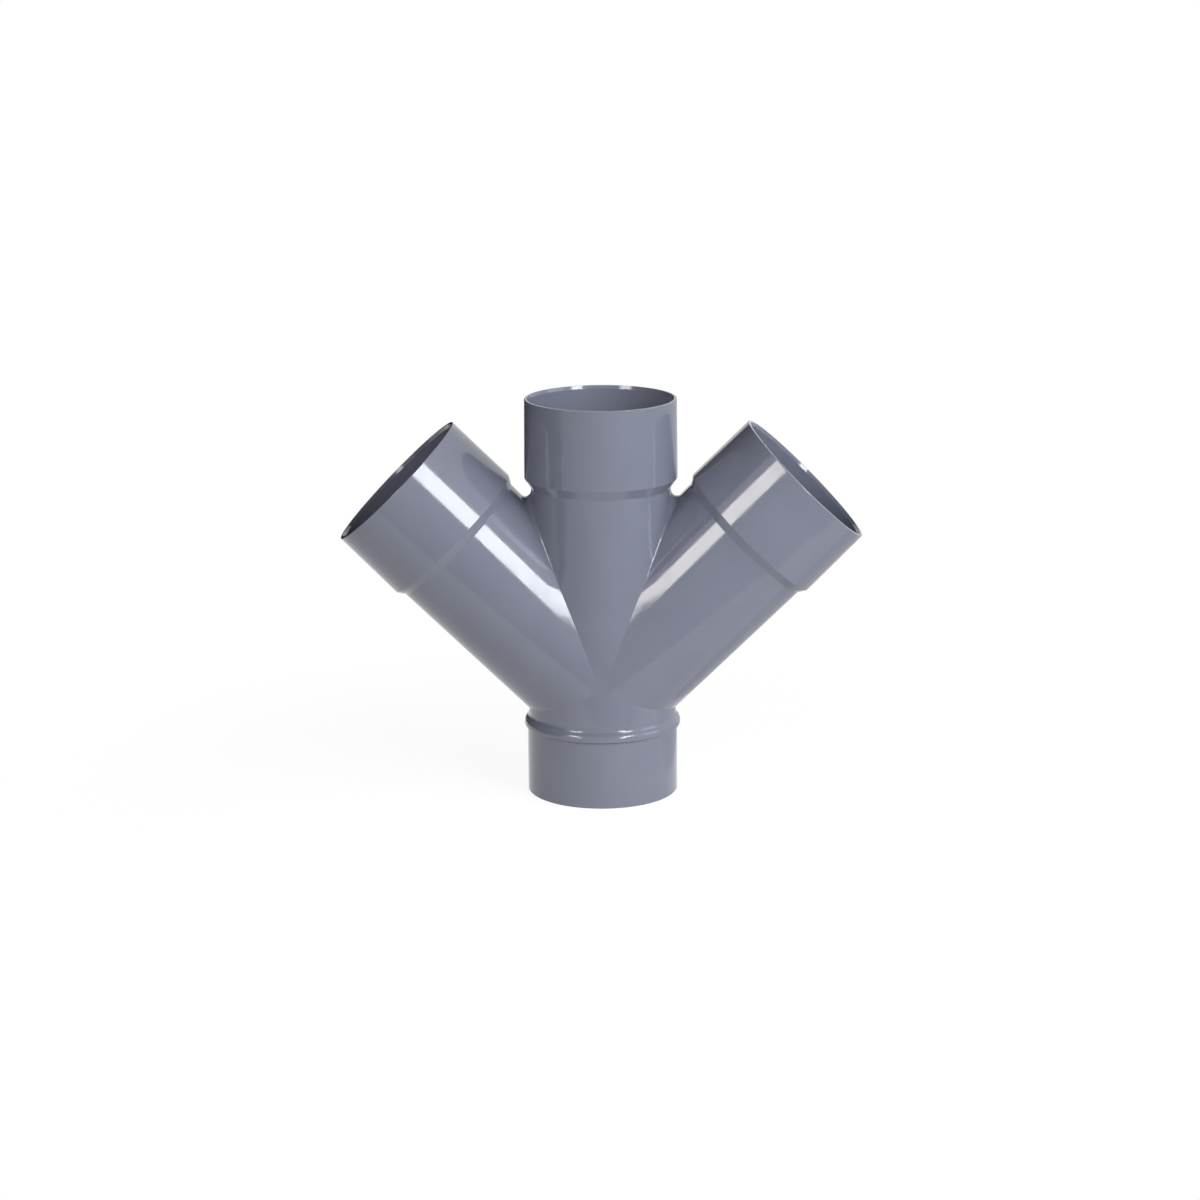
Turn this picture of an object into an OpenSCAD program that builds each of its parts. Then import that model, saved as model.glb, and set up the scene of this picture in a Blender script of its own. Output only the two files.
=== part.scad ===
// Double wye: a drain fitting moulded in one piece of rigid grey PVC.
// One straight run stands on its spigot, and two equal branches leave it at the same height,
// to the left and to the right. The origin is the centre of the spigot's open end, +Z up the run.

/* [Spigot] */
// Outside diameter of the drain pipe, and so of the spigot that stands in for one
pipe_d = 110; // [100:0.5:120]
// Length of the spigot, from its open end to the underside of the stop bead
spigot_l = 49.8; // [35:0.2:80]
// Chamfer round the outer edge of the spigot's open end
spigot_chamfer = 0.5; // [0.2:0.1:1.5]

/* [Stop bead] */
// How far the bead stands proud of the spigot
bead_proud = 2.2; // [1.2:0.1:5]
// Height of the bead's round ring
bead_ring_h = 2; // [1.6:0.1:6]
// Height of the hollow flank from the ring up to the body
bead_flank_h = 7.6; // [5:0.2:12]

/* [Body] */
// Wall of the spigot, the body and the branches
wall = 3.2; // [2.2:0.1:4.2]
// How much less radius the body has than the spigot, just above the bead
body_inset = 0.9; // [0.2:0.1:2]
// Bare body between the bead and the underside of the branches
neck_l = 2.6; // [1:0.2:20]

/* [Top socket] */
// Outside diameter of the pipe that the top socket takes
top_pipe_d = 104; // [100:0.5:110]
// Depth of the top socket, from its mouth to the pipe stop
top_depth = 57.5; // [45:0.5:80]
// Wall of the top socket at its mouth
top_wall = 2.7; // [2.4:0.1:5]
// Width of the pipe stop in the top socket
top_stop = 4.8; // [3:0.1:6]
// Height of the sloping shoulder under the top socket
top_shoulder_h = 7.2; // [6:0.2:14]
// Height of the shoulder's foot above the sharp corner between run and branch
top_clear = 13.6; // [9:0.2:40]

/* [Branches] */
// Angle between each branch and the run
branch_angle = 45; // [43:1:60]
// Depth of each branch socket, from its mouth to the pipe stop
branch_depth = 56; // [45:0.5:80]
// Wall of each branch socket at its mouth
branch_wall = 3.2; // [2.4:0.1:5]
// Width of the pipe stop in each branch socket
branch_stop = 3.1; // [2.5:0.1:5]
// Length of the sloping shoulder under each branch socket
branch_shoulder_l = 5.8; // [4:0.2:12]
// Length of a branch from the run's axis to the foot of its shoulder
branch_l = 147.2; // [142:0.2:220]
// How much less radius a branch has than the run where their axes meet
branch_inset = 0.4; // [0.3:0.1:3]

/* [Fits and edges] */
// Play between a pipe and the bore of its socket, over the diameter
socket_play = 0.4; // [0.1:0.05:1]
// Moulding draft of each socket: extra radius outside at its foot
socket_draft = 0.5; // [0:0.1:1]
// Depth of the bell mouth that leads a pipe into each socket
lead_in_l = 2.4; // [1:0.2:5]
// How far the bell mouth opens the bore, in radius
lead_in_w = 0.8; // [0.3:0.1:1.2]
// Rounding of the bend at the foot of the shoulders
foot_r = 3; // [1.5:0.5:8]
// Rounding of the bend at the top of the shoulders
bend_r = 1.2; // [0.8:0.1:2]
// Rounding of the outer edge of the sockets' rims and of the bead
rim_r = 0.7; // [0.3:0.1:0.8]

/* [Fillets] */
// Fillet in the upper corner between run and branch
corner_r = 4.5; // [2:0.1:6]
// Fillet along the rest of the seam between run and branch
seam_r = 1.2; // [1:0.1:3]

/* [Hidden] */
$fn = 144;
pvc_grey = "#777c8c";
arc_steps = 6;
past = 1;

// Radii of the run, from the spigot upwards
spigot_r = pipe_d / 2;
bead_r = spigot_r + bead_proud;
body_r = spigot_r - body_inset;
top_bore_r = (top_pipe_d + socket_play) / 2;
top_throat_r = top_bore_r - top_stop;
top_body_r = top_throat_r + wall;

// Radii of the branches at their sockets
branch_bore_r = (pipe_d + socket_play) / 2;
branch_throat_r = branch_bore_r - branch_stop;
branch_body_r = branch_throat_r + wall;

// Heights on the run. All three axes meet at axes_z, and corner_z is where the sides of run and
// branch would meet in a sharp corner
bead_top_z = spigot_l + bead_ring_h + bead_flank_h;
axes_z = bead_top_z + neck_l + body_r * tan(branch_angle / 2);
corner_z = axes_z + top_body_r / tan(branch_angle) + branch_body_r / sin(branch_angle);
top_foot_z = corner_z + top_clear;
top_seat_z = top_foot_z + top_shoulder_h;
top_end_z = top_seat_z + top_depth;

// Lengths along a branch, and its radius where the axes meet
branch_seat_l = branch_l + branch_shoulder_l;
branch_end_l = branch_seat_l + branch_depth;
run_r_at_axes = body_r + (top_body_r - body_r) * (axes_z - bead_top_z) / (top_foot_z - bead_top_z);
branch_root_r = run_r_at_axes - branch_inset;

// The fillet in the seam between run and branch: a ball rolls down the seam on both outsides.
// turn is the angle round the branch, 0 in the upper corner; beyond seam_reach the seam is flat
seam_reach = 64;
seam_steps = 40;
ball_steps = 4;
sink = 0.2;
root_depth = 0.8;
end_depth = 0.9;

function run_r(z) =
    body_r + (top_body_r - body_r) * (z - bead_top_z) / (top_foot_z - bead_top_z);
function branch_r(l) = branch_root_r + (branch_body_r - branch_root_r) * l / branch_l;
function ball_r(turn) = seam_r + (corner_r - seam_r) * pow(cos(turn), 24);
function unit(v) = v / norm(v);

// Centre of the ball, found again from the local radii until it stays put
function ball_at(turn, r, z = axes_z, l = 0, tries = 6) =
    let (rb = branch_r(l) + r,
         rr = run_r(z) + r,
         y = rb * sin(turn),
         u = rb * cos(turn),
         x = sqrt(rr * rr - y * y),
         along = (x + u * cos(branch_angle)) / sin(branch_angle),
         up = axes_z + along * cos(branch_angle) + u * sin(branch_angle))
        tries == 0 ? [x, y, up] : ball_at(turn, r, up, along, tries - 1);

// One section of the fillet: the arc that the ball leaves, and a root point inside the wall.
// Towards its two ends the strip dives into the wall
function seam_section(turn) =
    let (r = ball_r(turn),
         c = ball_at(turn, r),
         branch_axis = [sin(branch_angle), 0, cos(branch_angle)],
         off_axes = c - [0, 0, axes_z],
         to_run = unit([-c.x, -c.y, 0]),
         to_branch = unit((off_axes * branch_axis) * branch_axis - off_axes),
         half = acos(to_run * to_branch) / 2,
         inward = unit(to_run + to_branch),
         across = unit(to_branch - to_run),
         dive = end_depth * pow(turn / seam_reach, 8))
        concat(
            [for (i = [0 : ball_steps])
                let (a = half * (2 * i / ball_steps - 1),
                     reach = r + (i == 0 || i == ball_steps ? sink : 0))
                    c + (reach * cos(a) + dive) * inward + reach * sin(a) * across],
            [c + (r / cos(half) + root_depth + dive) * inward]);

// Points of an arc of radius r round [x, y], from one angle to another
function arc(x, y, r, from, to) =
    [for (i = [0 : arc_steps])
        let (a = from + (to - from) * i / arc_steps)
            [x + r * cos(a), y + r * sin(a)]];

// Two equal arcs that run smoothly from radius r1 at height y1 in to radius r2 at height y2
function flank(r1, y1, r2, y2) =
    let (turn = 2 * atan((r1 - r2) / (y2 - y1)), r = (y2 - y1) / sin(turn) / 2)
        concat(arc(r1 - r, y1, r, 0, turn), arc(r2 + r, y2, r, 180 + turn, 180));

// Outline of a socket outside: shoulder from radius r_body at its foot, wall, and rounded rim
function socket_outside(r_body, r_bore, thick, foot, seat, end) =
    let (r_root = r_bore + thick + socket_draft,
         lean = atan((r_root - r_body) / (seat - foot)))
        concat(
            arc(r_body + foot_r, foot - foot_r * tan(lean / 2), foot_r, 180, 180 - lean),
            arc(r_root - bend_r, seat + bend_r * tan(lean / 2), bend_r, -lean, 0),
            arc(r_bore + thick - rim_r, end - rim_r, rim_r, 0, 90));

// Outline of a socket inside: throat, flat pipe stop, bore and bell mouth
function socket_inside(r_throat, r_bore, seat, end) =
    [[r_throat, seat], [r_bore, seat], [r_bore, end - lead_in_l],
     [r_bore + lead_in_w, end], [r_bore + lead_in_w, end + past], [0, end + past]];

// Turns an outline of [radius, height] points into a solid round the vertical axis
module turned(outline) {
    rotate_extrude() polygon(outline);
}

// Puts a branch's parts in place: side is 1 for the right branch and -1 for the left one
module on_branch(side) {
    translate([0, 0, axes_z]) rotate([0, side * branch_angle, 0]) children();
}

module run_outside() {
    turned(concat(
        [[0, 0], [spigot_r - spigot_chamfer, 0], [spigot_r, spigot_chamfer], [spigot_r, spigot_l]],
        arc(bead_r - rim_r, spigot_l + rim_r, rim_r, -90, 0),
        flank(bead_r, spigot_l + bead_ring_h, body_r, bead_top_z),
        socket_outside(top_body_r, top_bore_r, top_wall, top_foot_z, top_seat_z, top_end_z),
        [[0, top_end_z]]));
}

module run_inside() {
    turned(concat(
        [[0, -past], [spigot_r - wall, -past], [spigot_r - wall, spigot_l],
         [body_r - wall, bead_top_z]],
        socket_inside(top_throat_r, top_bore_r, top_seat_z, top_end_z)));
}

module branch_outside() {
    turned(concat(
        [[0, 0], [branch_root_r, 0]],
        socket_outside(branch_body_r, branch_bore_r, branch_wall, branch_l, branch_seat_l, branch_end_l),
        [[0, branch_end_l]]));
}

module branch_inside() {
    turned(concat(
        [[0, 0], [branch_root_r - wall, 0]],
        socket_inside(branch_throat_r, branch_bore_r, branch_seat_l, branch_end_l)));
}

// Fillet along the seam of the right branch, from front to back over the upper corner
module seam_fillet() {
    sections = [for (i = [0 : seam_steps]) seam_section(seam_reach * (2 * i / seam_steps - 1))];
    size = ball_steps + 2;
    function at(i, j) = i * size + j % size;
    polyhedron(
        points = [for (section = sections) each section],
        faces = concat(
            [[for (j = [0 : size - 1]) at(0, j)], [for (j = [0 : size - 1]) at(seam_steps, size - 1 - j)]],
            [for (i = [0 : seam_steps - 1], j = [0 : size - 1])
                each [[at(i, j), at(i + 1, j), at(i + 1, j + 1)], [at(i, j), at(i + 1, j + 1), at(i, j + 1)]]]));
}

// The whole fitting is one moulding: run and branches open into each other
module fitting_body() {
    color(pvc_grey)
    difference() {
        union() {
            run_outside();
            for (side = [-1, 1]) on_branch(side) branch_outside();
            seam_fillet();
            mirror([1, 0, 0]) seam_fillet();
        }
        run_inside();
        for (side = [-1, 1]) on_branch(side) branch_inside();
    }
}

fitting_body();
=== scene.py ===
import math

import bmesh
import bpy
from mathutils import Matrix, Vector

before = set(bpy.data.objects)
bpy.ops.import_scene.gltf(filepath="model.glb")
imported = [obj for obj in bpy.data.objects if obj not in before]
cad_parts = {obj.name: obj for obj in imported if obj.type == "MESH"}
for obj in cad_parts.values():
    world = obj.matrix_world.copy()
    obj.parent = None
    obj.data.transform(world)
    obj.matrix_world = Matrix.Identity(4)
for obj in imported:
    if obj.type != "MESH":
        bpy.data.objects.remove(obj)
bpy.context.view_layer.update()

# Camera: a long lens a little above the fitting and almost square to its front, so all three
# mouths lie nearly edge-on. Distances in metres, worked back from the rims and the side lines.
camera_target = Vector((-0.00126, 0.0, 0.14206))
camera_distance = 2.1888
camera_azimuth = math.radians(0.38)
camera_elevation = math.radians(13.97)
camera_roll = math.radians(-0.38)
focal_px = 3000.0
frame_px = 1200.0
sensor_mm = 36.0

camera_data = bpy.data.cameras.new("camera")
camera_data.sensor_width = sensor_mm
camera_data.lens = sensor_mm * focal_px / frame_px
camera = bpy.data.objects.new("camera", camera_data)
bpy.context.scene.collection.objects.link(camera)
towards_camera = Vector((
    math.sin(camera_azimuth) * math.cos(camera_elevation),
    -math.cos(camera_azimuth) * math.cos(camera_elevation),
    math.sin(camera_elevation)))
aim = (-towards_camera).to_track_quat("-Z", "Y").to_matrix().to_4x4()
camera.matrix_world = (
    Matrix.Translation(camera_target + camera_distance * towards_camera)
    @ aim @ Matrix.Rotation(camera_roll, 4, "Z"))
bpy.context.scene.camera = camera


# Fitting: one injection moulding in rigid PVC, grey through and through. Its skin copied a
# polished mould, so it is glossy, with a faint orange peel, fainter clouds of colour where the
# melt flowed, and the duller rubs of storage.
def linear(hex_colour):
    """Linear colour, with alpha, of an sRGB hex value such as 8a8d96."""
    parts = [int(hex_colour[i:i + 2], 16) / 255 for i in (0, 2, 4)]
    return (*[p / 12.92 if p <= 0.04045 else ((p + 0.055) / 1.055) ** 2.4 for p in parts], 1.0)


def new_material(name):
    """A new material with an empty node tree."""
    material = bpy.data.materials.new(name)
    material.use_nodes = True
    material.node_tree.nodes.clear()
    return material


def add_node(tree, kind, settings=None, inputs=None):
    """Adds a node with its properties (settings) and its sockets' values or links (inputs)."""
    node = tree.nodes.new(kind)
    for name, value in (settings or {}).items():
        setattr(node, name, value)
    for name, value in (inputs or {}).items():
        if isinstance(value, bpy.types.NodeSocket):
            tree.links.new(value, node.inputs[name])
        else:
            node.inputs[name].default_value = value
    return node


mm = 0.001
pvc_grey = "787b8b"
pvc_grey_dull = "7b7e8d"
pvc_rough = 0.09
pvc_rough_worn = 0.15
pvc_ior = 1.54
cloud_size = 38 * mm
rub_size = 14 * mm
peel_size = 5.5 * mm
peel_height = 0.018 * mm

pvc = new_material("moulded_rigid_pvc_grey")
tree = pvc.node_tree
place = add_node(tree, "ShaderNodeTexCoord")
clouds = add_node(tree, "ShaderNodeTexNoise", inputs={
    "Vector": place.outputs["Object"], "Scale": 1 / cloud_size,
    "Detail": 3.0, "Roughness": 0.5, "Distortion": 0.6})
cloud_share = add_node(tree, "ShaderNodeMapRange", inputs={
    "Value": clouds.outputs["Fac"], "From Min": 0.35, "From Max": 0.65,
    "To Min": 0.0, "To Max": 1.0})
colour = add_node(tree, "ShaderNodeMix", {"data_type": "RGBA"}, {
    0: cloud_share.outputs["Result"], 6: linear(pvc_grey), 7: linear(pvc_grey_dull)})
rubs = add_node(tree, "ShaderNodeTexNoise", inputs={
    "Vector": place.outputs["Object"], "Scale": 1 / rub_size, "Detail": 5.0, "Roughness": 0.62})
rough = add_node(tree, "ShaderNodeMapRange", inputs={
    "Value": rubs.outputs["Fac"], "From Min": 0.42, "From Max": 0.72,
    "To Min": pvc_rough, "To Max": pvc_rough_worn})
peel = add_node(tree, "ShaderNodeTexNoise", inputs={
    "Vector": place.outputs["Object"], "Scale": 1 / peel_size, "Detail": 2.0, "Roughness": 0.45})
peel_bump = add_node(tree, "ShaderNodeBump", inputs={
    "Strength": 1.0, "Distance": peel_height, "Height": peel.outputs["Fac"]})
shader = add_node(tree, "ShaderNodeBsdfPrincipled", inputs={
    "Base Color": colour.outputs[2], "Roughness": rough.outputs["Result"], "IOR": pvc_ior,
    "Normal": peel_bump.outputs["Normal"]})
add_node(tree, "ShaderNodeOutputMaterial", inputs={"Surface": shader.outputs["BSDF"]})
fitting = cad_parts["fitting_body"]
for slot in fitting.material_slots:
    slot.material = pvc


# Table: a plain white studio sweep. The camera and the glossy plastic see it white. Only round
# the fitting's foot does a little of its real shading come through, which leaves the shadow.
def place_mesh(name, bm, material):
    """Puts a finished bmesh into the scene as an object of one material."""
    mesh = bpy.data.meshes.new(name)
    bm.to_mesh(mesh)
    bm.free()
    mesh.materials.append(material)
    piece = bpy.data.objects.new(name, mesh)
    bpy.context.scene.collection.objects.link(piece)
    return piece


def seen_or_mirrored(tree):
    """An output that is 1 for rays from the camera or from gloss or glass, and 0 for the others."""
    path = add_node(tree, "ShaderNodeLightPath")
    camera_or_gloss = add_node(tree, "ShaderNodeMath", {"operation": "MAXIMUM"}, {
        0: path.outputs["Is Camera Ray"], 1: path.outputs["Is Glossy Ray"]})
    any_of_them = add_node(tree, "ShaderNodeMath", {"operation": "MAXIMUM"}, {
        0: camera_or_gloss.outputs[0], 1: path.outputs["Is Transmission Ray"]})
    return any_of_them.outputs[0]


table_size = 24.0
table_grey = "d8d8d8"
shadow_share = 0.25
shadow_reach = 0.45
shadow_full = 0.8
unshadowed_level = 0.4

bm = bmesh.new()
bmesh.ops.create_grid(bm, x_segments=1, y_segments=1, size=table_size / 2)
table_white = new_material("white_studio_sweep")
tree = table_white.node_tree
place = add_node(tree, "ShaderNodeTexCoord")
within_reach = add_node(tree, "ShaderNodeMapping", inputs={
    "Vector": place.outputs["Object"], "Scale": (1 / shadow_reach, 1 / shadow_reach, 1)})
nearness = add_node(tree, "ShaderNodeTexGradient", {"gradient_type": "SPHERICAL"}, {
    "Vector": within_reach.outputs["Vector"]})
# Shading and glow add up to white where no shadow falls, and to a little less in the shadow.
seen = seen_or_mirrored(tree)
white_share = add_node(tree, "ShaderNodeMapRange", {"interpolation_type": "SMOOTHSTEP"}, {
    "Value": nearness.outputs["Fac"], "From Min": 0.0, "From Max": shadow_full,
    "To Min": 1.0, "To Max": 1 - shadow_share})
held_back = add_node(tree, "ShaderNodeMath", {"operation": "MULTIPLY"}, {
    0: seen, 1: white_share.outputs["Result"]})
white_level = add_node(tree, "ShaderNodeMapRange", {"interpolation_type": "SMOOTHSTEP"}, {
    "Value": nearness.outputs["Fac"], "From Min": 0.0, "From Max": shadow_full,
    "To Min": 1.0, "To Max": 1 - shadow_share * unshadowed_level})
glow = add_node(tree, "ShaderNodeMath", {"operation": "MULTIPLY"}, {
    0: seen, 1: white_level.outputs["Result"]})
lit = add_node(tree, "ShaderNodeBsdfDiffuse", inputs={"Color": linear(table_grey)})
shading = add_node(tree, "ShaderNodeMixShader", inputs={
    0: held_back.outputs[0], 1: lit.outputs["BSDF"]})
white = add_node(tree, "ShaderNodeEmission", inputs={
    "Color": linear("ffffff"), "Strength": glow.outputs[0]})
both = add_node(tree, "ShaderNodeAddShader", inputs={
    0: shading.outputs[0], 1: white.outputs["Emission"]})
add_node(tree, "ShaderNodeOutputMaterial", inputs={"Surface": both.outputs[0]})
table = place_mesh("table", bm, table_white)

# Black card: a curved flag on the left, out of the picture, that keeps the left edges of the
# glossy plastic and the inside of the left mouth dark. Angles are round the fitting from its
# front, in degrees, and positive to the right.
card_from, card_to, card_step = -168, -58, 5
card_distance = 0.75
card_height = 1.6
just_above_table = 1 * mm

bm = bmesh.new()
card_start = math.radians(card_from)
foot = bm.verts.new((
    card_distance * math.sin(card_start), -card_distance * math.cos(card_start), just_above_table))
bmesh.ops.spin(
    bm, geom=[foot], cent=(0, 0, 0), axis=(0, 0, 1), dvec=(0, 0, 0),
    angle=math.radians(card_to - card_from), steps=(card_to - card_from) // card_step,
    use_merge=False, use_duplicate=False)
grown = bmesh.ops.extrude_edge_only(bm, edges=bm.edges[:])
top_edge = [v for v in grown["geom"] if isinstance(v, bmesh.types.BMVert)]
bmesh.ops.translate(bm, vec=(0, 0, card_height), verts=top_edge)
black_card = new_material("matt_black_card")
tree = black_card.node_tree
flat_black = add_node(tree, "ShaderNodeBsdfDiffuse", inputs={"Color": linear("1c1918")})
add_node(tree, "ShaderNodeOutputMaterial", inputs={"Surface": flat_black.outputs["BSDF"]})
card = place_mesh("black_card", bm, black_card)
card.visible_camera = False


# Panels: flat boards and cloths off camera, which the plastic mirrors. None of them is lit: each
# glows at the brightness it would have as a lit board or cloth. A grey cloth on the table in front
# draws the tone step along both branches; a pale one lies behind on the right, a dim white wall
# stands behind the camera and lights the front softly, and the ceiling is black.
def panel(name, corners, glow, tint, lights_up=True):
    """A flat board with the given corners; glow is 1 for white paper and 0 for black cloth."""
    bm = bmesh.new()
    bm.faces.new([bm.verts.new(corner) for corner in corners])
    surface = new_material(name + "_surface")
    tree = surface.node_tree
    glowing = add_node(tree, "ShaderNodeEmission", inputs={"Color": linear(tint), "Strength": glow})
    add_node(tree, "ShaderNodeOutputMaterial", inputs={"Surface": glowing.outputs["Emission"]})
    board = place_mesh(name, bm, surface)
    board.visible_camera = False
    board.visible_shadow = False
    board.visible_diffuse = lights_up


room_half = 5.0
cloth_half = 3.0
cloth_middle = -0.2825
cloth_slope = 0.30
cloth_left = cloth_middle - cloth_slope * cloth_half
cloth_right = cloth_middle + cloth_slope * cloth_half
panel("front_cloth", [
    (-room_half, -room_half, just_above_table), (room_half, -room_half, just_above_table),
    (cloth_half, cloth_right, just_above_table), (-cloth_half, cloth_left, just_above_table)],
    glow=0.46, tint="f4feff", lights_up=False)

pale_from, pale_to = 0.1, 3.0
panel("right_cloth", [
    (pale_from, 0, just_above_table), (pale_to, 0, just_above_table),
    (pale_to, pale_to, just_above_table), (pale_from, pale_to, just_above_table)],
    glow=0.68, tint="ffffff", lights_up=False)

panel("camera_wall", [
    (-room_half, -room_half, 0), (room_half, -room_half, 0),
    (room_half, -room_half, room_half), (-room_half, -room_half, room_half)],
    glow=0.64, tint="f0f6ff")

ceiling_height = 3.0
ceiling_left, ceiling_right, ceiling_back = -2.5, 1.6, 2.6
panel("ceiling", [
    (ceiling_left, -room_half, ceiling_height), (ceiling_left, ceiling_back, ceiling_height),
    (ceiling_right, ceiling_back, ceiling_height), (ceiling_right, -room_half, ceiling_height)],
    glow=0.0, tint="ffffff")

# Room: a studio whose walls give next to no light. It is pure white where the camera or a
# glossy reflection looks past the table, so the backdrop has no edge.
room_glow = 0.04
world = bpy.data.worlds.new("studio_room")
bpy.context.scene.world = world
world.use_nodes = True
tree = world.node_tree
tree.nodes.clear()
room_light = add_node(tree, "ShaderNodeBackground", inputs={
    "Color": linear("ffffff"), "Strength": room_glow})
white_wall = add_node(tree, "ShaderNodeBackground", inputs={
    "Color": linear("ffffff"), "Strength": 1.0})
backdrop = add_node(tree, "ShaderNodeMixShader", inputs={
    0: seen_or_mirrored(tree), 1: room_light.outputs[0], 2: white_wall.outputs[0]})
add_node(tree, "ShaderNodeOutputWorld", inputs={"Surface": backdrop.outputs[0]})


# Soft boxes: two in front, rolled so that their images run as even streaks along the branches, the
# right one the stronger, and a large dim one at the right. Two more, at the side and behind, only
# lift the shade and leave no highlight.
fitting_middle = Vector((0, 0, 0.145))
lamp_distance = 2.4


def soft_box(name, azimuth, elevation, size, brightness, tint, roll=0, mirrored=True):
    """A lit rectangle that faces the middle of the fitting; brightness is 1 for white paper."""
    lamp = bpy.data.lights.new(name, "AREA")
    lamp.shape = "RECTANGLE"
    lamp.size, lamp.size_y = size
    lamp.energy = brightness * math.pi * size[0] * size[1]
    lamp.color = linear(tint)[:3]
    turn, rise = math.radians(azimuth), math.radians(elevation)
    away = Vector((
        math.sin(turn) * math.cos(rise), -math.cos(turn) * math.cos(rise), math.sin(rise)))
    holder = bpy.data.objects.new(name, lamp)
    holder.matrix_world = (
        Matrix.Translation(fitting_middle + lamp_distance * away)
        @ away.to_track_quat("Z", "Y").to_matrix().to_4x4()
        @ Matrix.Rotation(math.radians(roll), 4, "Z"))
    holder.visible_camera = False
    holder.visible_glossy = mirrored
    bpy.context.scene.collection.objects.link(holder)


soft_box(
    "key_soft_box", azimuth=35.9, elevation=24.6, size=(1.01, 0.54), brightness=15.5,
    tint="fbfdff", roll=33.4)
soft_box(
    "side_soft_box", azimuth=62, elevation=25, size=(1.1, 1.1), brightness=5.2,
    tint="fbfdff", mirrored=False)
soft_box(
    "fill_soft_box", azimuth=-39.6, elevation=26.2, size=(0.90, 0.48), brightness=11.0,
    tint="fef9f3", roll=-31.7)
soft_box(
    "right_soft_box", azimuth=80, elevation=22, size=(1.2, 1.2), brightness=1.7, tint="f4faff")
soft_box(
    "back_soft_box", azimuth=180, elevation=12, size=(1.6, 1.2), brightness=4.0,
    tint="ffffff", mirrored=False)

bpy.context.scene.view_settings.view_transform = "Standard"
